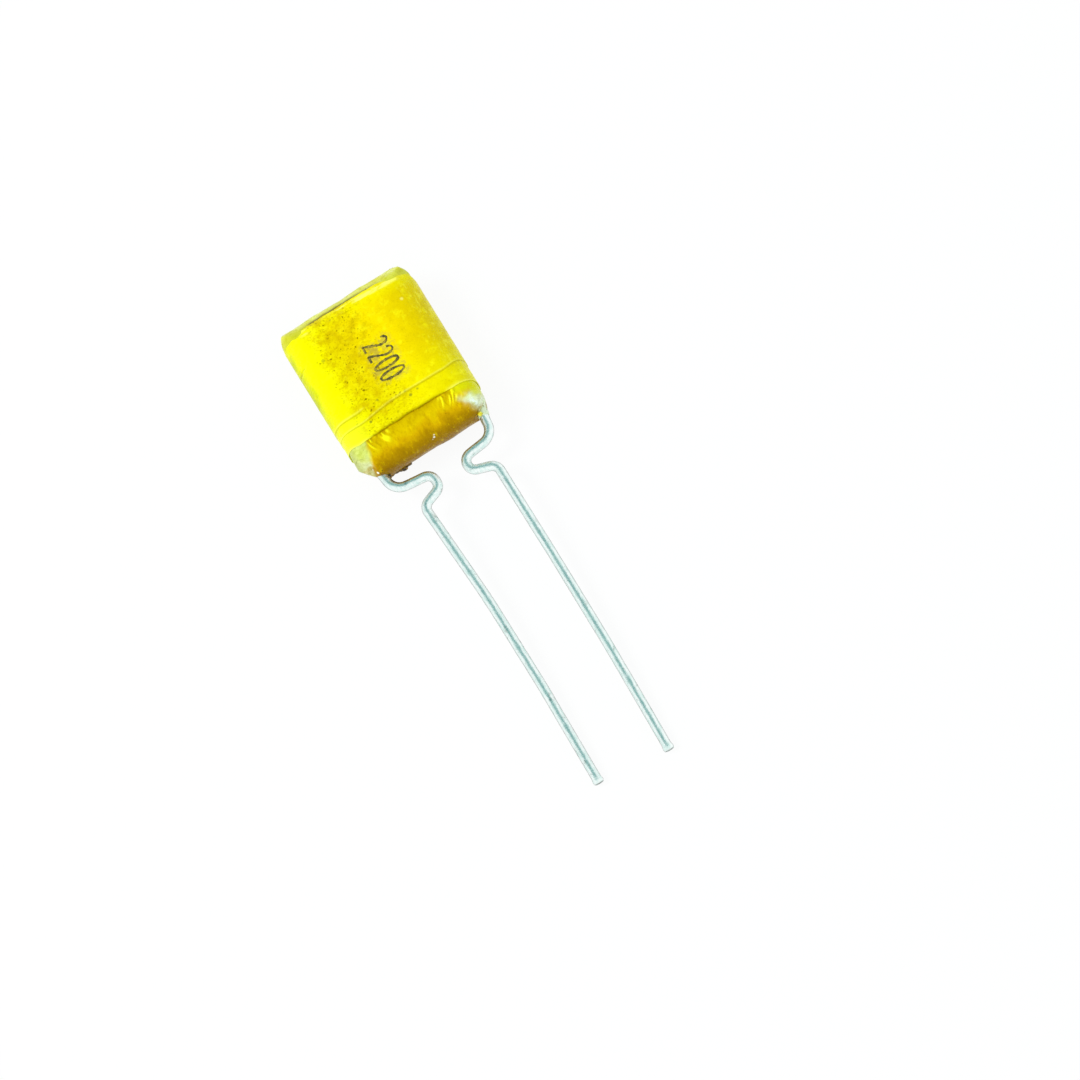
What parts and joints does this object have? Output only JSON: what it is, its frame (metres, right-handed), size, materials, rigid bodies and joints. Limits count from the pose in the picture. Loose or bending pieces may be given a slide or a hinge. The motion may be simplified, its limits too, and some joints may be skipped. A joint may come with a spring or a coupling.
{
  "type": "paper capacitor",
  "caption": "Flat wrapped-and-filled radial paper capacitor: a wound element in a film wrap with resin ends, and parallel wire leads with inward standoff kinks.",
  "frame": {"origin": "middle of the body's flat back, on which it lies", "axes": "+Z from the back to the front face, -Y along the leads away from the body, +X across the width to the right as seen from the front with the leads towards the viewer"},
  "size_m": [0.0098, 0.0384, 0.0039],
  "materials": {
    "wrap_film": "glossy yellow film",
    "winding": "varnished paper and foil turns",
    "sprayed_metal": "rough sprayed metal",
    "solder": "smooth solder",
    "tinned_wire": "bright tinned wire",
    "amber_resin": "glossy translucent amber resin"
  },
  "bodies": {
    "root": {"film_wrap": "wrap_film", "wound_element": "winding", "left_end_spray": "sprayed_metal", "right_end_spray": "sprayed_metal", "left_solder_joint": "solder", "right_solder_joint": "solder", "left_lead": "tinned_wire", "right_lead": "tinned_wire", "lead_end_fill": "amber_resin", "top_end_fill": "amber_resin"}
  },
  "joints": []
}
